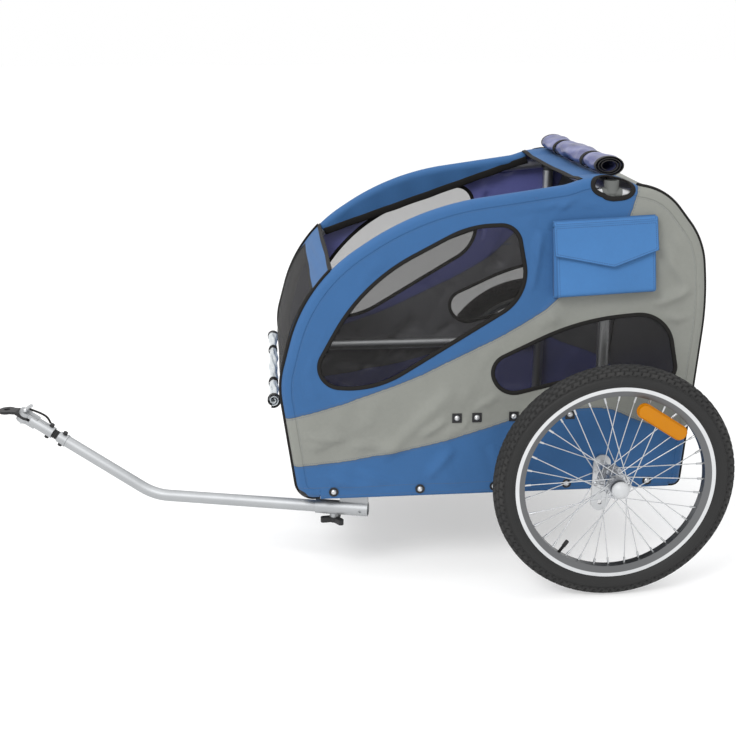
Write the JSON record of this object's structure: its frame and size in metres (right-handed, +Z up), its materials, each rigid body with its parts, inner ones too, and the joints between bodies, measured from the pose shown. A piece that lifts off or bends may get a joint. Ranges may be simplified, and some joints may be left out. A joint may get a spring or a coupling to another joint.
{
  "type": "dog bike trailer",
  "caption": "Two-wheeled cloth-covered dog trailer with windows, side pockets, an open roll-back top, spoked wheels and a bent tow bar that ends in a bicycle axle hitch.",
  "frame": {"origin": "on the ground below the middle of the trailer's length and width", "axes": "+X to the rear along the trailer, -X towards the bicycle, -Y to the trailer's left with the tow bar, +Z up"},
  "size_m": [1.546, 0.8972, 0.9054],
  "materials": {
    "tube_alu": "satin anodised tube",
    "fitting_grey": "moulded",
    "fitting_black": "moulded",
    "floor_black": "stiff board",
    "bracket_alu": "bright",
    "axle_steel": "turned",
    "bolt_steel": "domed",
    "washer_black": "moulded",
    "cover_cloth": "coated woven cloth, blue and grey",
    "rear_cloth": "coated woven cloth, grey",
    "mesh": "open mesh",
    "roll_film": "clear film rolled up with its binding",
    "strap_black": "webbing",
    "red_lens": "prismatic",
    "amber_lens": "prismatic",
    "tyre": "ribbed tread",
    "rim_alu": "polished",
    "spoke_steel": "drawn wire",
    "hub_alu": "turned",
    "bearing_steel": "ground",
    "button_grey": "moulded",
    "tow_alu": "satin anodised tube",
    "knob_black": "moulded",
    "coupler_bolt": "black nuts",
    "link_rubber": "ribbed",
    "hitch_black": "black coated plate",
    "pin_steel": "dark"
  },
  "bodies": {
    "frame": {"base_rail_left": "tube_alu", "base_rail_right": "tube_alu", "front_cross_tube": "tube_alu", "rear_cross_tube": "tube_alu", "axle_beam": "tube_alu", "front_hoop_left": "tube_alu", "front_hoop_right": "tube_alu", "rear_hoop_left": "tube_alu", "rear_hoop_right": "tube_alu", "side_posts": "tube_alu", "side_stays": "tube_alu", "top_cross_tube": "tube_alu", "top_connector_left": "fitting_grey", "top_connector_right": "fitting_grey", "base_corners": "fitting_black", "floor_board": "floor_black", "axle_bracket_left": "bracket_alu", "axle_bracket_right": "bracket_alu", "tow_receiver": "bracket_alu", "stub_axles": "axle_steel", "frame_bolts": "bolt_steel", "bolt_washers": "washer_black", "side_cover_left": "cover_cloth", "side_cover_right": "cover_cloth", "front_panel": "cover_cloth", "pocket_left": "cover_cloth", "pocket_right": "cover_cloth", "opening_edges": "cover_cloth", "rear_panel": "rear_cloth", "front_mesh": "mesh", "side_windows": "mesh", "top_roll": "roll_film", "front_roll": "roll_film", "roll_straps": "strap_black", "rear_reflectors": "red_lens"},
    "wheel_left": {"tyre_left": "tyre", "rim_left": "rim_alu", "spokes_left": "spoke_steel", "hub_left": "hub_alu", "bearings_left": "bearing_steel", "spoke_reflector_left": "amber_lens"},
    "wheel_right": {"tyre_right": "tyre", "rim_right": "rim_alu", "spokes_right": "spoke_steel", "hub_right": "hub_alu", "bearings_right": "bearing_steel", "spoke_reflector_right": "amber_lens"},
    "button_left": {"release_button_left": "button_grey"},
    "button_right": {"release_button_right": "button_grey"},
    "flap_left": {"pocket_flap_left": "cover_cloth"},
    "flap_right": {"pocket_flap_right": "cover_cloth"},
    "tow_bar": {"tow_tube": "tow_alu", "tow_bolt": "coupler_bolt", "flex_link": "link_rubber"},
    "clamp_knob": {"clamp_knob": "knob_black"},
    "tongue": {"tongue": "tow_alu", "tongue_bolt": "coupler_bolt"},
    "hitch": {"hitch_plate": "hitch_black"},
    "hitch_pin": {"hitch_pin": "pin_steel", "pin_strap": "strap_black"}
  },
  "joints": [
    {"name": "wheel_left_spin", "type": "hinge", "parent": "frame", "child": "wheel_left", "pos_m": [0.52098, -0.39, 0.252], "axis": [0, 1, 0], "continuous": true},
    {"name": "button_left_press", "type": "slide", "parent": "frame", "child": "button_left", "axis": [0, 1, 0], "range_m": [0, 0.004], "stiffness_N_per_m": 800, "springref_m": -0.001},
    {"name": "flap_left_lift", "type": "hinge", "parent": "frame", "child": "flap_left", "pos_m": [0.50122, -0.27804, 0.77603], "axis": [-0.9991, -0.0016, -0.0418], "range_deg": [0, 100]},
    {"name": "wheel_right_spin", "type": "hinge", "parent": "frame", "child": "wheel_right", "pos_m": [0.52098, 0.39, 0.252], "axis": [0, 1, 0], "continuous": true},
    {"name": "button_right_press", "type": "slide", "parent": "frame", "child": "button_right", "axis": [0, -1, 0], "range_m": [0, 0.004], "stiffness_N_per_m": 800, "springref_m": -0.001},
    {"name": "flap_right_lift", "type": "hinge", "parent": "frame", "child": "flap_right", "pos_m": [0.50122, 0.27804, 0.77603], "axis": [0.9991, -0.0016, 0.0418], "range_deg": [0, 100]},
    {"name": "tow_slide", "type": "slide", "parent": "frame", "child": "tow_bar", "axis": [-0.9673, 0.2538, 0], "range_m": [0, 0.09]},
    {"name": "knob_turn", "type": "hinge", "parent": "frame", "child": "clamp_knob", "pos_m": [-0.04902, -0.26987, 0.135], "axis": [0, 0, 1], "range_deg": [0, 720]},
    {"name": "coupler_pitch", "type": "hinge", "parent": "tow_bar", "child": "tongue", "pos_m": [-0.64883, -0.11251, 0.2915], "axis": [-0.2538, -0.9673, 0], "range_deg": [-15, 15], "stiffness_Nm_per_rad": 60, "deforming": ["flex_link"]},
    {"name": "hitch_yaw", "type": "hinge", "parent": "tongue", "child": "hitch", "pos_m": [-0.71668, -0.09471, 0.332], "axis": [0.4836, -0.1269, 0.866], "range_deg": [-60, 60]},
    {"name": "pin_pull", "type": "slide", "parent": "tongue", "child": "hitch_pin", "axis": [0.4836, -0.1269, 0.866], "range_m": [0, 0.036], "deforming": ["pin_strap"]}
  ]
}
